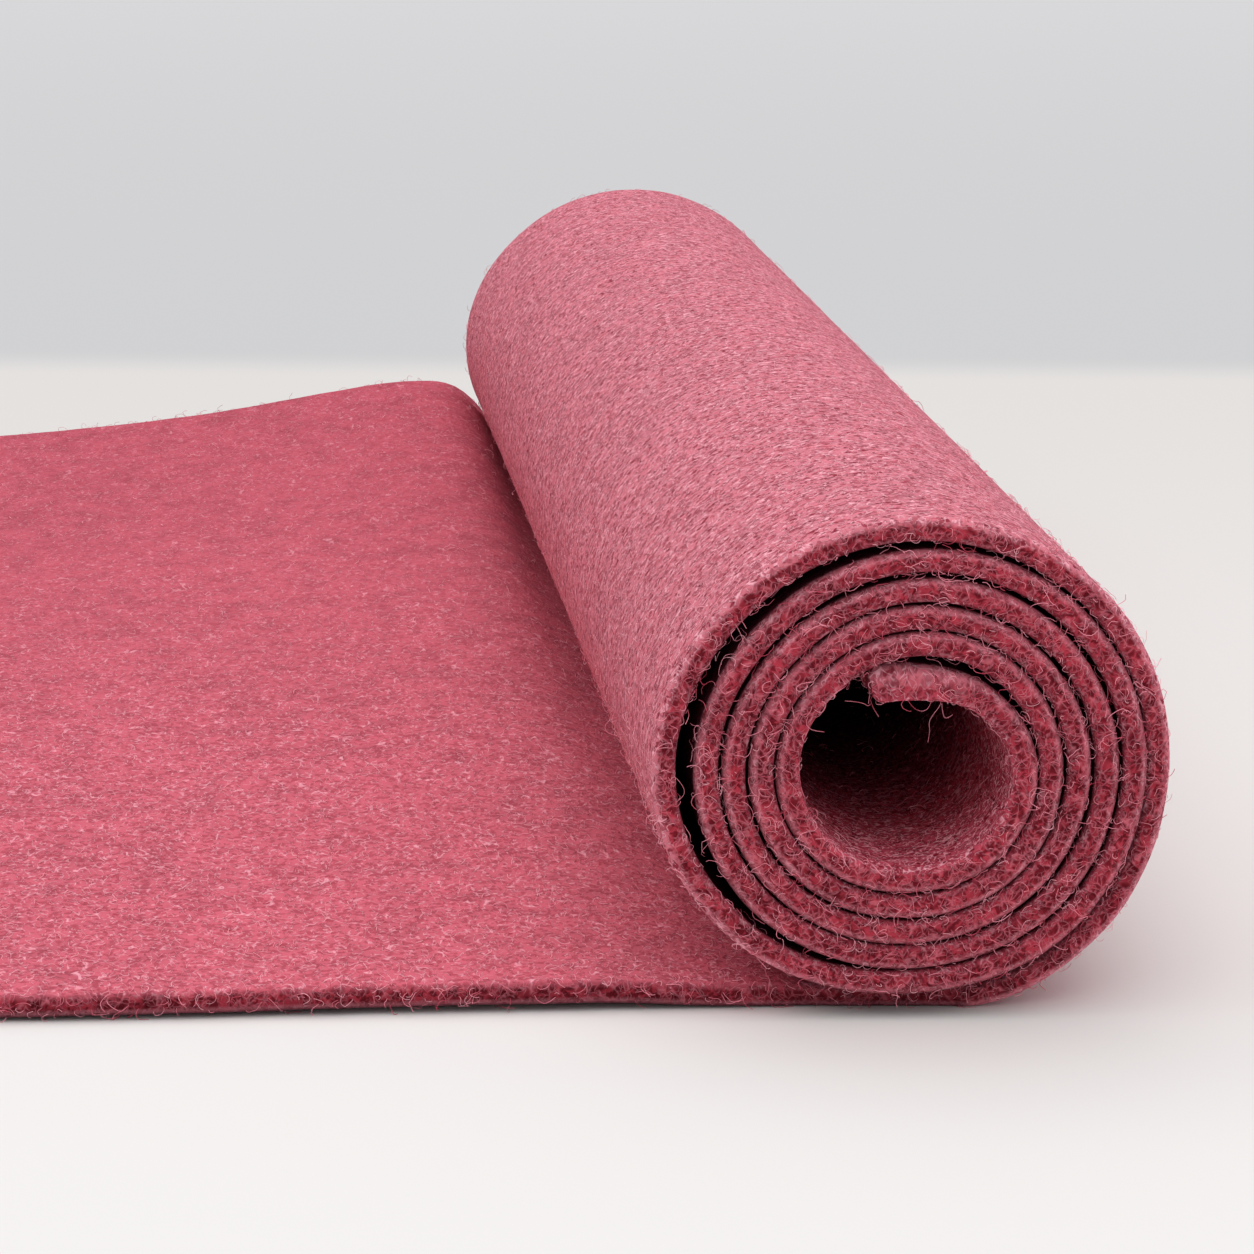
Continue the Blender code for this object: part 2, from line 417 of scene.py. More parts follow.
def shut_away(angle, across, height):
    """Painted shade, 1 where the felt lies between two turns or against the floor, out of the light."""
    depth = min(across, FELT_WIDTH - across)
    if angle < TAIL_END and depth < TAIL_CUT_DEPTH:
        dark, more = TAIL_CUT_DARK
        return dark + more * (0.5 - height / FELT_THICKNESS)**2
    if angle < TAIL_END and height < 0:
        return UNDERSIDE_DARK * ramp(-height, *UNDERSIDE_RUN)
    if angle > CORE_START and height > 0:
        return CORE_DARK * ramp(depth, *CORE_RUN)
    if not between_turns(angle, height):
        return 0.0
    groove = GROOVE_DARK * ramp(2 * abs(height) / FELT_THICKNESS, *GROOVE_RUN)**2
    return max(groove, ramp(depth, *SHUT_RUN))


def mark_points(mesh, **marks):
    """Gives every point of the mesh a number under each of the names."""
    for name, values in marks.items():
        mark = mesh.attributes.new(name, "FLOAT", "POINT")
        mark.data.foreach_set("value", np.array(values, np.float32))


def felt_mesh():
    """The whole felt as one closed mesh, with its pattern coordinates."""
    stations = felt_stations()
    ring = section_ring()
    points = felt_points(stations, ring)
    rows = len(ACROSS_STEPS_MM)
    rim = len(ring) // 2 - rows
    size = len(ring)
    verts = [tuple(p) for p in points.reshape(-1, 3)]
    pattern, cut, angle, outer, painted_dark = [], [], [], [], []
    for along, wound, _, _ in stations:
        for across, height, share, run in ring:
            pattern.append((along, run))
            cut.append(cut_share(wound, across, height, share))
            angle.append(wound)
            outer.append(float(height < 0))
            painted_dark.append(shut_away(wound, across, height))
    faces = []
    for i in range(len(stations) - 1):
        for j in range(size):
            k = (j + 1) % size
            faces.append((i * size + j, (i + 1) * size + j, (i + 1) * size + k, i * size + k))

    for i, turned in ((0, False), (len(stations) - 1, True)):
        # Each cut end is a grid from its top line to its bottom one, whose side columns are the rims
        along, wound, _, _ = stations[i]
        way = 1 if turned else -1
        base = i * size
        columns = [[base + size - 1 - k for k in range(rim)]]
        for j in range(rows):
            top = base + j
            bottom = base + rows + rim + (rows - 1 - j)
            column = []
            for k in range(rim):
                share = 1 - (k + 1) / (rim + 1)
                place = Vector(verts[top]) * share + Vector(verts[bottom]) * (1 - share)
                column.append(len(verts))
                verts.append(tuple(place))
                pattern.append((along + (1 - share) * FELT_THICKNESS * way, ring[j][3]))
                cut.append(1.0)
                angle.append(wound)
                outer.append(0.5)
                painted_dark.append(0.0)
            columns.append(column)
        columns.append([base + rows + k for k in range(rim)])
        ends = []
        for c, column in enumerate(columns):
            j = min(max(c - 1, 0), rows - 1)
            ends.append([base + j] + column + [base + rows + rim + (rows - 1 - j)])
        for left, right in zip(ends, ends[1:]):
            for k in range(rim + 1):
                face = [left[k], right[k], right[k + 1], left[k + 1]]
                face = [v for n, v in enumerate(face) if v not in face[:n]]
                faces.append(face[::-1] if not turned else face)

    mesh = bpy.data.meshes.new("felt_sheet")
    mesh.from_pydata(verts, [], faces)
    uv = mesh.uv_layers.new(name="felt_pattern")
    corners = np.empty(len(mesh.loops), dtype=np.int32)
    mesh.loops.foreach_get("vertex_index", corners)
    values = np.array(pattern)[corners]
    # The pattern runs on round the far rim, and breaks just below it
    for quad in range(rows + rim - 1, (len(stations) - 1) * size, size):
        for loop in mesh.polygons[quad].loop_indices:
            if values[loop, 1] < 0:
                values[loop, 1] = ring[rows + rim - 1][3] + ACROSS_STEPS_MM[0] * MM
    uv.data.foreach_set("uv", values.astype(np.float32).ravel())
    mark_points(mesh, cut=cut, wound_angle=angle, outer_face=outer, shut_away=painted_dark)
    mesh.shade_smooth()
    return mesh


def add_object(name, mesh):
    """Puts the mesh into the scene as a piece of its own."""
    piece = bpy.data.objects.new(name, mesh)
    bpy.context.scene.collection.objects.link(piece)
    return piece


class Nodes:
    """Adds nodes to a tree: settings by name, inputs by name or number, links by their sockets."""

    def __init__(self, tree):
        self.tree = tree

    def add(self, kind, inputs=None, **settings):
        node = self.tree.nodes.new(kind)
        for name, value in settings.items():
            setattr(node, name, value)
        for key, value in (inputs or {}).items():
            self.fill(node.inputs[key], value)
        return node

    def fill(self, socket, value):
        """Links the socket to another node's, or gives it a plain value."""
        if isinstance(value, bpy.types.NodeSocket):
            self.tree.links.new(value, socket)
        else:
            socket.default_value = value

    def add_typed(self, kind, inputs, output, **settings):
        """Adds a node that has sockets for each kind of data, so they are picked by identifier."""
        node = self.add(kind, **settings)
        for socket in node.inputs:
            if socket.identifier in inputs:
                self.fill(socket, inputs[socket.identifier])
        return next(s for s in node.outputs if s.identifier == output)

    def math(self, operation, a, b=0.0):
        return self.add("ShaderNodeMath", {0: a, 1: b}, operation=operation).outputs[0]

    def blend(self, factor, a, b, way="MIX"):
        inputs = {"Factor_Float": factor, "A_Color": a, "B_Color": b}
        return self.add_typed("ShaderNodeMix", inputs, "Result_Color", data_type="RGBA", blend_type=way)

    def stretch(self, value, low, high, to_low=0.0, to_high=1.0):
        inputs = {0: value, 1: low, 2: high, 3: to_low, 4: to_high}
        return self.add("ShaderNodeMapRange", inputs, interpolation_type="SMOOTHSTEP").outputs[0]

    def noise(self, place, scale, detail=0.0, rough=0.5):
        inputs = {"Vector": place, "Scale": scale, "Detail": detail, "Roughness": rough}
        return self.add("ShaderNodeTexNoise", inputs, noise_dimensions="3D")


class Wool(Nodes):
    """Patterns of matted wool on the felt's own coordinates, with scales for each metre of it."""

    def __init__(self, tree):
        super().__init__(tree)
        self.place = self.add("ShaderNodeUVMap", uv_map="felt_pattern").outputs[0]

    def warped(self, scale, reach, shift, base=None):
        """Coordinates that a noise pushes about, so that what is drawn on them curls."""
        inputs = {0: base or self.place, 1: (shift, shift * 0.7, shift * 1.3)}
        moved = self.add("ShaderNodeVectorMath", inputs, operation="ADD").outputs[0]
        swirl = self.noise(moved, scale).outputs["Color"]
        centred = self.add("ShaderNodeVectorMath", {0: swirl, 1: (0.5, 0.5, 0.5)}, operation="SUBTRACT")
        pushed = self.add("ShaderNodeVectorMath", {0: centred.outputs[0], "Scale": reach}, operation="SCALE")
        return self.add("ShaderNodeVectorMath", {0: moved, 1: pushed.outputs[0]}, operation="ADD").outputs[0]

    def in_patches(self, value, scale, shift, low, high):
        """The value where a noise is high, and nothing where it is low."""
        moved = self.add("ShaderNodeVectorMath", {0: self.place, 1: (shift, -shift, shift)}, operation="ADD")
        patches = self.stretch(self.noise(moved.outputs[0], scale).outputs[0], low, high)
        return self.math("MULTIPLY", value, patches)

    def curls(self, base, scale, width, shift, low=0.40, high=0.56):
        """Thin curling lines, where a noise passes through its middle value."""
        value = self.noise(self.warped(scale * 0.9, 1.7 / scale, shift, base), scale).outputs[0]
        off = self.math("ABSOLUTE", self.math("SUBTRACT", value, 0.5))
        return self.in_patches(self.stretch(off, 0.0, width, 1.0, 0.0), scale * 1.3, shift + 0.5, low, high)

    def cells(self, scale, shift):
        """Distance to the nearest of the fibres that cross and loop round small cells."""
        inputs = {"Vector": self.warped(scale * 0.7, 1.7 / scale, shift), "Scale": scale}
        kind = "ShaderNodeTexVoronoi"
        edges = self.add(kind, inputs, voronoi_dimensions="2D", feature="DISTANCE_TO_EDGE")
        return edges.outputs["Distance"]

    def most(self, *values):
        """The greatest of the values."""
        top = values[0]
        for value in values[1:]:
            top = self.math("MAXIMUM", top, value)
        return top

    def part_way(self, share, a, b):
        """Between a and b, nearer b the larger the share is."""
        rest = self.math("SUBTRACT", 1.0, share)
        return self.math("ADD", self.math("MULTIPLY", a, rest), self.math("MULTIPLY", b, share))


def linear(red, green, blue):
    """A colour seen as these 0..255 screen values, for a shader."""
    shades = []
    for value in (red, green, blue):
        share = value / 255
        shades.append(share / 12.92 if share <= 0.04045 else ((share + 0.055) / 1.055)**2.4)
    return (*shades, 1.0)


FELT_DEEP = linear(126, 32, 48)
FELT_MAIN = linear(204, 84, 103)
FELT_PALE = linear(255, 182, 196)
# Painted shade, these three: in the faces' pits and creases, in the cut's pits and hollows, and where the
# felt is out of the light
CREASE_SHADE = (0.42, 0.18, 0.22, 1.0)      # these three multiply the colour below them
HOLE_SHADE = (0.20, 0.09, 0.11, 1.0)
PAINTED_SHADE_TINT = (0.07, 0.035, 0.045, 1.0)
CUT_DEEP = linear(34, 3, 7)
CUT_MAIN = linear(182, 60, 75)
CUT_PALE = linear(234, 134, 150)
FIBRE_DEEP = linear(204, 76, 96)
FIBRE_PALE = linear(250, 158, 174)
FLECK_PALE = linear(255, 186, 198)
SKY_LOW = linear(141, 141, 142)
SKY_HIGH = linear(222, 222, 224)
SKY_RUN = (0.15, 0.85)      # how steeply a line of sight rises, from the one shade to the other
FLOOR_NEAR = linear(231, 229, 227)
FLOOR_FAR = linear(214, 211, 208)
WALL_LOW = linear(196, 196, 197)
WALL_HIGH = linear(204, 203, 204)


def felt_material():
    """Matted wool: mottled, with curling pale fibres, painted shade in pits and creases, and a darker, netted
    cut.
    """
    material = bpy.data.materials.new("raspberry_wool_felt")
    material.use_nodes = True
    n = Wool(material.node_tree)
    shader = material.node_tree.nodes["Principled BSDF"]
    cut = n.add("ShaderNodeAttribute", attribute_name="cut").outputs["Fac"]
    angle = n.add("ShaderNodeAttribute", attribute_name="wound_angle").outputs["Fac"]
    rolled = n.stretch(angle, 10.0, 60.0)

    upright = n.add("ShaderNodeMapping", {"Vector": n.place, "Scale": (1.0, 0.5, 1.0)}).outputs[0]
    streaked = n.add("ShaderNodeMapping", {"Vector": n.place, "Scale": (0.85, 1.0, 1.0)}).outputs[0]
    lying = n.most(
        n.math("MULTIPLY", n.curls(upright, 640, 0.032, 0.87), 0.7),
        n.math("MULTIPLY", n.curls(upright, 1000, 0.06, 1.43), 0.5),
    )
    wound = n.most(
        n.curls(streaked, 700, 0.045, 0.31, 0.39, 0.54),
        n.curls(streaked, 1200, 0.07, 0.87, 0.36, 0.52),
    )
    curl = n.part_way(rolled, lying, wound)
    wide_cells = n.cells(820, 0.23)
    net = n.most(
        n.in_patches(n.stretch(wide_cells, 0.0, 0.13, 1.0, 0.0), 600, 0.4, 0.4, 0.56),
        n.in_patches(n.stretch(n.cells(1250, 0.71), 0.0, 0.14, 1.0, 0.0), 800, 0.9, 0.42, 0.6),
        n.math("MULTIPLY", n.curls(n.place, 750, 0.08, 1.9), 0.9),
    )
    hollow = n.in_patches(n.stretch(wide_cells, 0.0, 0.4), 500, 1.3, 0.34, 0.52)

    pits = n.stretch(n.noise(n.warped(1100, 0.0007, 3.3), 1150, 1.0, 0.6).outputs[0], 0.38, 0.5, 1.0, 0.0)
    flat_creases = n.stretch(n.noise(n.warped(500, 0.0012, 4.1, upright), 800, 1.0).outputs[0], 0.6, 0.72)
    wound_creases = n.stretch(n.noise(n.warped(600, 0.0009, 4.1, streaked), 1100, 1.0).outputs[0], 0.58, 0.68)
    creases = n.part_way(rolled, n.math("MULTIPLY", flat_creases, 0.4), wound_creases)
    mottle = n.noise(n.place, 170, 2.0, 0.55).outputs[0]
    drift = n.noise(n.place, 28, 1.0).outputs[0]
    grain = n.noise(n.place, 3200, 1.0, 0.6).outputs[0]

    tone = n.math("ADD", n.math("MULTIPLY", mottle, 0.75), n.math("MULTIPLY", drift, 0.25))
    body = n.blend(n.stretch(tone, 0.30, 0.62, 0.6, 1.0), FELT_DEEP, FELT_MAIN)
    dark = n.most(n.math("MULTIPLY", pits, n.stretch(rolled, 0.0, 1.0, 0.45, 0.6)), creases)
    run = n.add("ShaderNodeSeparateXYZ", {0: n.place}).outputs[1]
    brushed = n.stretch(run, 0.05, 0.24, 1.0, 0.5)
    dark = n.math("MULTIPLY", dark, brushed)
    outer = n.add("ShaderNodeAttribute", attribute_name="outer_face").outputs["Fac"]
    body = n.blend(n.math("MULTIPLY", outer, 0.33), body, FELT_PALE)
    body = n.blend(n.stretch(rolled, 0.0, 1.0, 0.13, 0.0), body, FELT_PALE)
    # Painted shade: the unrolled part's top grows darker towards its far edge
    painted_far_shade = n.math("MULTIPLY", n.stretch(run, 0.03, 0.3, 0.0, 0.26), n.math("SUBTRACT", 1.0, rolled))
    body = n.blend(painted_far_shade, body, FELT_DEEP)
    # Painted shade in the faces' pits and creases
    body = n.blend(dark, body, CREASE_SHADE, "MULTIPLY")
    body = n.blend(n.math("MULTIPLY", curl, brushed), body, FELT_PALE)

    cut_body = n.blend(n.stretch(tone, 0.30, 0.62, 0.55, 1.0), CUT_DEEP, CUT_MAIN)
    # Painted shade in the cut's pits and hollows
    holes = n.most(n.math("MULTIPLY", pits, 0.75), n.math("MULTIPLY", hollow, 0.75))
    cut_body = n.blend(holes, cut_body, HOLE_SHADE, "MULTIPLY")
    cut_body = n.blend(n.math("MULTIPLY", net, 0.45), cut_body, CUT_PALE)
    # Painted shade where the felt is out of the light: between turns, on the unrolled part's cut rims more
    # towards the floor, under it, and deep in the core
    painted_dark = n.add("ShaderNodeAttribute", attribute_name="shut_away").outputs["Fac"]
    whole = n.blend(painted_dark, n.blend(cut, body, cut_body), PAINTED_SHADE_TINT, "MULTIPLY")
    n.tree.links.new(whole, shader.inputs["Base Color"])

    face_relief = n.math("SUBTRACT", n.math("MULTIPLY", curl, 0.8), n.math("MULTIPLY", dark, 1.4))
    cut_relief = n.math("SUBTRACT", n.math("MULTIPLY", net, 1.0), n.math("MULTIPLY", hollow, 2.2))
    inputs = {"Factor_Float": cut, "A_Float": face_relief, "B_Float": cut_relief}
    relief = n.add_typed("ShaderNodeMix", inputs, "Result_Float", data_type="FLOAT")
    relief = n.math("ADD", relief, n.math("MULTIPLY", mottle, 2.0))
    relief = n.math("ADD", relief, n.math("MULTIPLY", grain, 0.35))
    bump = n.add("ShaderNodeBump", {"Strength": 1.0, "Distance": 0.00012, "Height": relief})
    n.tree.links.new(bump.outputs[0], shader.inputs["Normal"])
    n.tree.links.new(n.stretch(grain, 0.3, 0.7, 0.88, 1.0), shader.inputs["Roughness"])
    shader.inputs["Metallic"].default_value = 0.0
    shader.inputs["IOR"].default_value = 1.4
    shader.inputs["Specular IOR Level"].default_value = 0.0
    shader.inputs["Sheen Weight"].default_value = 0.02
    shader.inputs["Sheen Roughness"].default_value = 0.5
    shader.inputs["Sheen Tint"].default_value = linear(244, 120, 142)
    return material


def fibre_material(name, deep, pale):
    """Single loose fibres, paler than the matted felt and unevenly dyed."""
    material = bpy.data.materials.new(name)
    material.use_nodes = True
    n = Nodes(material.node_tree)
    shader = material.node_tree.nodes["Principled BSDF"]
    place = n.add("ShaderNodeTexCoord").outputs["Object"]
    dye = n.stretch(n.noise(place, 260, 2.0).outputs[0], 0.35, 0.65)
    n.tree.links.new(n.blend(dye, deep, pale), shader.inputs["Base Color"])
    scales = n.noise(place, 9000, 1.0).outputs[0]
    bump = n.add("ShaderNodeBump", {"Strength": 0.4, "Distance": 0.00002, "Height": scales})
    n.tree.links.new(bump.outputs[0], shader.inputs["Normal"])
    n.tree.links.new(n.stretch(scales, 0.3, 0.7, 0.7, 0.9), shader.inputs["Roughness"])
    shader.inputs["Specular IOR Level"].default_value = 0.1
    return material


def fibre_tree():
    """Geometry Nodes that grow curling loose fibres on a surface, as thin closed tubes."""
    tree = bpy.data.node_groups.new("loose_fibres", "GeometryNodeTree")
    face = tree.interface
    face.new_socket("Geometry", in_out="INPUT", socket_type="NodeSocketGeometry")
    for name, kind in (
        ("Where", "String"), ("Fibres per square metre", "Float"), ("Shortest", "Float"),
        ("Longest", "Float"), ("Thickness", "Float"), ("Points", "Int"), ("Bend", "Float"),
        ("Standing up", "Float"), ("Rolled over", "Float"), ("Height", "Float"), ("Curl reach", "Float"),
        ("Curls per metre", "Float"), ("Seed", "Int"), ("Material", "Material"),
    ):
        face.new_socket(name, in_out="INPUT", socket_type="NodeSocket" + kind)
    face.new_socket("Geometry", in_out="OUTPUT", socket_type="NodeSocketGeometry")
    n = Nodes(tree)
    given = n.add("NodeGroupInput").outputs
    where = n.add("GeometryNodeInputNamedAttribute", {"Name": given["Where"]}, data_type="FLOAT")
    density = n.math("MULTIPLY", given["Fibres per square metre"], where.outputs["Attribute"])
    inputs = {"Mesh": given["Geometry"], "Density": density, "Seed": given["Seed"]}
    roots = n.add("GeometryNodeDistributePointsOnFaces", inputs, distribute_method="RANDOM")

    def random(low, high, shift):
        inputs = {"Min_001": low, "Max_001": high, "Seed": n.math("ADD", given["Seed"], shift)}
        return n.add_typed("FunctionNodeRandomValue", inputs, "Value_001", data_type="FLOAT")

    # Each fibre starts as an arc one unit long, turned about its root and tilted off the surface
    inputs = {
        "Resolution": given["Points"], "Radius": n.math("DIVIDE", 1.0, given["Bend"]),
        "Sweep Angle": given["Bend"],
    }
    arc = n.add("GeometryNodeCurveArc", inputs, mode="RADIUS")
    off_centre = n.add("ShaderNodeCombineXYZ", {"X": n.math("DIVIDE", -1.0, given["Bend"])})
    inputs = {"Geometry": arc.outputs[0], "Translation": off_centre.outputs[0]}
    rooted = n.add("GeometryNodeTransform", inputs)
    tilt = n.math("MULTIPLY", random(0.1, 1.0, 5), given["Standing up"])
    over = n.math("MULTIPLY", random(0.1, 1.0, 7), given["Rolled over"])
    inputs = {"X": over, "Y": n.math("MULTIPLY", tilt, -1.0), "Z": random(0.0, 2 * math.pi, 1)}
    turn = n.add("ShaderNodeCombineXYZ", inputs)
    euler = n.add("FunctionNodeEulerToRotation", {0: turn.outputs[0]})
    inputs = {"Rotation": roots.outputs["Rotation"], "Rotate By": euler.outputs[0]}
    turned = n.add("FunctionNodeRotateRotation", inputs, rotation_space="LOCAL")
    length = random(given["Shortest"], given["Longest"], 2)
    inputs = {
        "Points": roots.outputs["Points"], "Instance": rooted.outputs[0],
        "Rotation": turned.outputs[0], "Scale": length,
    }
    placed = n.add("GeometryNodeInstanceOnPoints", inputs)
    rise = n.add("ShaderNodeCombineXYZ", {"Z": given["Height"]})
    inputs = {"Instances": placed.outputs[0], "Translation": rise.outputs[0]}
    raised = n.add("GeometryNodeTranslateInstances", inputs)
    lines = n.add("GeometryNodeRealizeInstances", {0: raised.outputs[0]})

    # Then a swirl carries its points off the line
    spot = n.add("GeometryNodeInputPosition").outputs[0]
    apart = n.add("ShaderNodeCombineXYZ", {"X": n.math("MULTIPLY", given["Seed"], 0.37)})
    moved = n.add("ShaderNodeVectorMath", {0: spot, 1: apart.outputs[0]}, operation="ADD").outputs[0]
    swirl = n.noise(moved, given["Curls per metre"], 1.0).outputs["Color"]
    centred = n.add("ShaderNodeVectorMath", {0: swirl, 1: (0.5, 0.5, 0.5)}, operation="SUBTRACT")
    inputs = {0: centred.outputs[0], "Scale": given["Curl reach"]}
    pushed = n.add("ShaderNodeVectorMath", inputs, operation="SCALE")
    curled = n.add("GeometryNodeSetPosition", {"Geometry": lines.outputs[0], "Offset": pushed.outputs[0]})

    # None sinks into the surface that the felt lies on
    spot = n.add("ShaderNodeSeparateXYZ", {0: n.add("GeometryNodeInputPosition").outputs[0]}).outputs
    height = n.math("MAXIMUM", spot[2], n.math("MULTIPLY", given["Thickness"], 1.2))
    lowest = n.add("ShaderNodeCombineXYZ", {"X": spot[0], "Y": spot[1], "Z": height})
    inputs = {"Geometry": curled.outputs[0], "Position": lowest.outputs[0]}
    resting = n.add("GeometryNodeSetPosition", inputs)
    outline = n.add("GeometryNodeCurvePrimitiveCircle", {"Resolution": 3, "Radius": given["Thickness"]})
    inputs = {"Curve": resting.outputs[0], "Profile Curve": outline.outputs[0], "Fill Caps": True}
    tubes = n.add("GeometryNodeCurveToMesh", inputs)
    whole = n.add("GeometryNodeRealizeInstances", {0: tubes.outputs[0]})
    inputs = {"Geometry": whole.outputs[0], "Material": given["Material"]}
    dyed = n.add("GeometryNodeSetMaterial", inputs)
    n.add("NodeGroupOutput", {"Geometry": dyed.outputs[0]})
    return tree


def grow(name, ground, tree, material, **sizes):
    """One piece of loose fibres on the ground mesh, turned into a plain mesh."""
    grower = add_object(name, ground.copy())
    modifier = grower.modifiers.new("fibres", "NODES")
    modifier.node_group = tree
    sockets = [item for item in tree.interface.items_tree if item.in_out == "INPUT"]
    identifiers = {socket.name: socket.identifier for socket in sockets}
    for key, value in sizes.items():
        modifier[identifiers[key.replace("_", " ")]] = value
    modifier[identifiers["Material"]] = material
    grown = bpy.data.meshes.new_from_object(grower.evaluated_get(bpy.context.evaluated_depsgraph_get()))
    bare = grower.data
    grower.modifiers.remove(modifier)
    grower.data = grown
    bpy.data.meshes.remove(bare)
    grown.name = name
    grown.shade_smooth()
    return grower


def stray_fibres(name, lines, thickness, material):
    """Single fibres along the given lines of points."""
    curve = bpy.data.curves.new(name, "CURVE")
    curve.dimensions = "3D"
    curve.bevel_depth = thickness
    curve.bevel_resolution = 1
    curve.use_fill_caps = True
    for line in lines:
        spline = curve.splines.new("NURBS")
        spline.points.add(len(line) - 1)
        for point, place in zip(spline.points, line):
            point.co = (*(value * MM for value in place), 1.0)
        spline.order_u = 3
        spline.use_endpoint_u = True
        spline.resolution_u = 4
    bent = bpy.data.objects.new(name, curve)
    bpy.context.scene.collection.objects.link(bent)
    mesh = bpy.data.meshes.new_from_object(bent.evaluated_get(bpy.context.evaluated_depsgraph_get()))
    bpy.data.objects.remove(bent)
    bpy.data.curves.remove(curve)
    mesh.name = name
    mesh.materials.clear()
    mesh.materials.append(material)
    return add_object(name, mesh)


def mark_grounds(mesh):
    """Marks where fibres grow: faces that show, and the two rims with the cut ends."""
    count = len(mesh.vertices)

    def read(source, name, width):
        values = np.empty(count * width, np.float32)
        source.foreach_get(name, values)
        return values.reshape(-1, width)

    x, y, z = read(mesh.vertices, "co", 3).T
    normals = read(mesh.vertices, "normal", 3)
    cut = read(mesh.attributes["cut"].data, "value", 1)[:, 0]
    angle = read(mesh.attributes["wound_angle"].data, "value", 1)[:, 0]
    outward = normals[:, 0] * (x - CORE_X) + normals[:, 2] * (z - CORE_HEIGHT)
    tail_top = (angle < TAIL_FUZZ_END) & (normals[:, 2] > LEAST_RISE)
    outside = (angle > OUTSIDE_FUZZ_START) & (angle < OUTSIDE_END) & (outward > 0)
    inside = (angle > CORE_FUZZ_START) & (outward < 0)
    faces = (cut < MOST_CUT) & (tail_top | outside | inside)
    near = np.clip((FELT_WIDTH / 2 - y) / FELT_WIDTH, 0, 1)
    fuzzy = np.where(faces, FAR_FUZZ + (1 - FAR_FUZZ) * near**FUZZ_FALL, 0.0)
    rims = np.clip(cut * RIM_GAIN, 0, 1)
    mark_points(mesh, on_faces=fuzzy, on_near_rim=rims * (y < 0), on_far_rim=rims * (y >= 0))


def add_floor():
    """A pale floor, with a greyer ground behind the part."""
    bpy.ops.mesh.primitive_grid_add(x_subdivisions=4, y_subdivisions=4, size=1)
    floor = bpy.context.object
    floor.name = "floor"
    for vertex in floor.data.vertices:
        vertex.co = (vertex.co.x * FLOOR_SIDE, vertex.co.y * FLOOR_SIDE, 0.0)
    material = bpy.data.materials.new("pale_floor")
    material.use_nodes = True
    n = Nodes(material.node_tree)
    shader = material.node_tree.nodes["Principled BSDF"]
    place = n.add("ShaderNodeTexCoord").outputs["Object"]
    y = n.add("ShaderNodeSeparateXYZ", {0: place}).outputs[1]
    floor_shade = n.blend(n.stretch(y, *FLOOR_RUN), FLOOR_NEAR, FLOOR_FAR)
    wall_shade = n.blend(n.stretch(y, *WALL_RUN), WALL_LOW, WALL_HIGH)
    shade = n.blend(n.stretch(y, *WALL_START), floor_shade, wall_shade)
    n.tree.links.new(shade, shader.inputs["Base Color"])
    shader.inputs["Roughness"].default_value = 0.9
    shader.inputs["Specular IOR Level"].default_value = 0.1
    floor.data.materials.append(material)


def add_sun(name, towards, spread, strength):
    """Even, soft light from the direction of a large window; spread is its width in degrees."""
    lamp = bpy.data.lights.new(name, "SUN")
    lamp.angle = math.radians(spread)
    lamp.energy = strength
    light = bpy.data.objects.new(name, lamp)
    light.rotation_euler = Vector(towards).to_track_quat("Z", "Y").to_euler()
    bpy.context.scene.collection.objects.link(light)


def add_sky():
    """A pale ceiling, and dimmer walls."""
    world = bpy.data.worlds.new("soft_daylight")
    world.use_nodes = True
    n = Nodes(world.node_tree)
    towards = n.add("ShaderNodeTexCoord").outputs["Generated"]
    height = n.add("ShaderNodeSeparateXYZ", {0: towards}).outputs[2]
    shade = n.blend(n.stretch(height, *SKY_RUN), SKY_LOW, SKY_HIGH)
    sky = world.node_tree.nodes["Background"]
    n.tree.links.new(shade, sky.inputs["Color"])
    sky.inputs["Strength"].default_value = 1.0
    bpy.context.scene.world = world


def add_camera():
    """The camera, turned from its yaw, pitch and roll."""
    yaw, pitch, roll = (math.radians(v) for v in (CAMERA_YAW, CAMERA_PITCH, CAMERA_ROLL))
    ahead = Vector((-math.sin(yaw) * math.cos(pitch), math.cos(yaw) * math.cos(pitch), -math.sin(pitch)))
    level = Vector((math.cos(yaw), math.sin(yaw), 0.0))
    upright = level.cross(ahead)
    right = level * math.cos(roll) + upright * math.sin(roll)
    up = upright * math.cos(roll) - level * math.sin(roll)
    lens = bpy.data.cameras.new("camera")
    lens.lens = CAMERA_LENS
    lens.sensor_width = 36.0
    camera = bpy.data.objects.new("camera", lens)
    camera.matrix_world = Matrix.LocRotScale(
        Vector(CAMERA_PLACE), Matrix((right, up, -ahead)).transposed().to_quaternion(), None
    )
    bpy.context.scene.collection.objects.link(camera)
    bpy.context.scene.camera = camera


add_camera()

skin = felt_mesh()
mark_grounds(skin)
felt = add_object("felt_sheet_soft", skin)
skin.materials.append(felt_material())

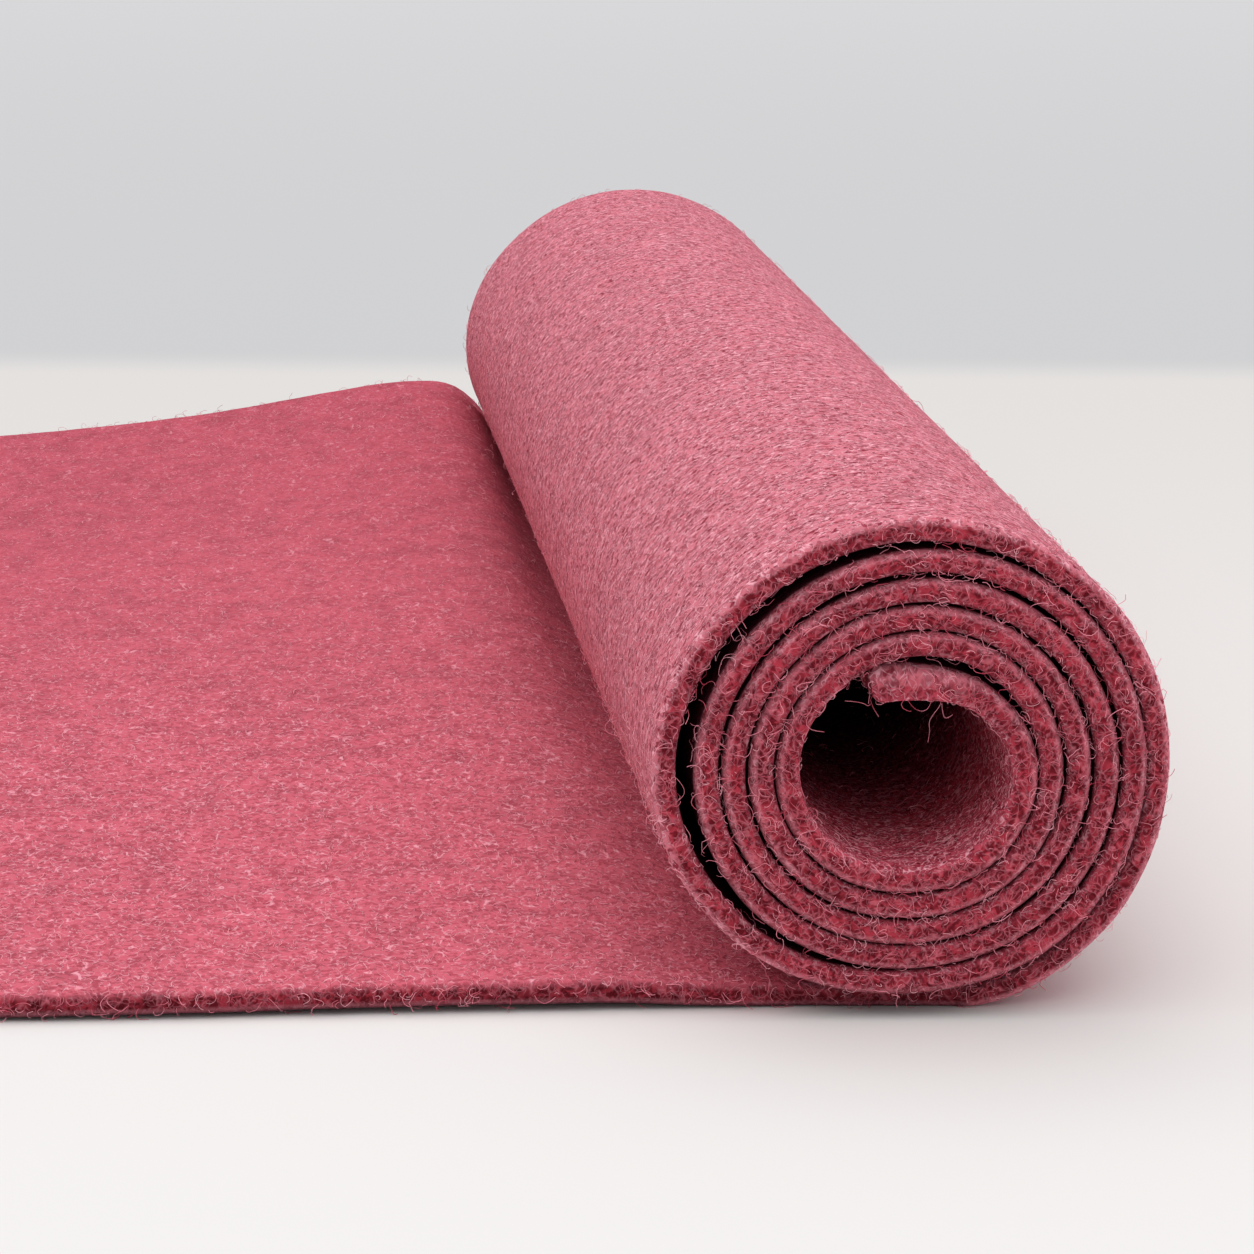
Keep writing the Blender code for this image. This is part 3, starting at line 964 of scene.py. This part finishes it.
rim_look = fibre_material("loose_wool_fibre", FIBRE_DEEP, FIBRE_PALE)
fleck_look = fibre_material("pale_wool_fibre", FIBRE_PALE, FLECK_PALE)
tree = fibre_tree()
FACE_FUZZ = {
    "Where": "on_faces", "Height": 0.02 * MM, "Curl reach": 1.3 * MM, "Curls per metre": 600.0,
}
fuzz = [
    grow("face_fuzz_a", skin, tree, rim_look, **FACE_FUZZ,
         Fibres_per_square_metre=60000.0, Thickness=0.035 * MM, Points=6, Shortest=0.9 * MM,
         Longest=2.6 * MM, Bend=2.2, Standing_up=0.1, Rolled_over=0.5, Seed=11),
    grow("face_fuzz_b", skin, tree, fleck_look, **FACE_FUZZ,
         Fibres_per_square_metre=95000.0, Thickness=0.045 * MM, Points=6, Shortest=0.5 * MM,
         Longest=2.2 * MM, Bend=2.8, Standing_up=0.25, Rolled_over=0.9, Seed=23),
    grow("face_fuzz_c", skin, tree, fleck_look, **FACE_FUZZ,
         Fibres_per_square_metre=36000.0, Thickness=0.035 * MM, Points=7, Shortest=1.0 * MM,
         Longest=3.6 * MM, Bend=1.8, Standing_up=0.9, Rolled_over=0.9, Seed=29),
    grow("near_rim_fuzz", skin, tree, rim_look, Where="on_near_rim", Height=0.02 * MM,
         Fibres_per_square_metre=330000.0, Thickness=0.042 * MM, Points=9, Shortest=1.2 * MM,
         Longest=3.6 * MM, Bend=2.2, Standing_up=0.2, Rolled_over=0.4, Curl_reach=1.5 * MM,
         Curls_per_metre=550.0, Seed=37),
    grow("near_rim_loops", skin, tree, fleck_look, Where="on_near_rim", Height=0.02 * MM,
         Fibres_per_square_metre=180000.0, Thickness=0.034 * MM, Points=9, Shortest=0.7 * MM,
         Longest=3.0 * MM, Bend=3.4, Standing_up=0.3, Rolled_over=0.5, Curl_reach=1.2 * MM,
         Curls_per_metre=600.0, Seed=47),
    grow("near_rim_wisps", skin, tree, rim_look, Where="on_near_rim", Height=0.02 * MM,
         Fibres_per_square_metre=150000.0, Thickness=0.024 * MM, Points=10, Shortest=1.2 * MM,
         Longest=3.6 * MM, Bend=2.4, Standing_up=1.0, Rolled_over=1.2, Curl_reach=1.8 * MM,
         Curls_per_metre=500.0, Seed=53),
    grow("far_rim_fuzz", skin, tree, rim_look, Where="on_far_rim", Height=0.02 * MM,
         Fibres_per_square_metre=600000.0, Thickness=0.032 * MM, Points=7, Shortest=1.2 * MM,
         Longest=3.4 * MM, Bend=3.0, Standing_up=0.5, Rolled_over=0.5, Curl_reach=1.4 * MM,
         Curls_per_metre=600.0, Seed=41),
    stray_fibres("single_fibres", STRAY_FIBRES_MM, 0.024 * MM, rim_look),
]

for piece in (felt, *fuzz):
    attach(piece, "root")
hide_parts("felt_sheet")

add_floor()
add_sun("high_window", towards=(-0.25, -0.1, 1.0), spread=85, strength=1.46)
add_sun("pale_wall", towards=(0.6, -0.9, 0.8), spread=90, strength=0.6)
add_sky()
bpy.context.scene.view_settings.view_transform = "Standard"
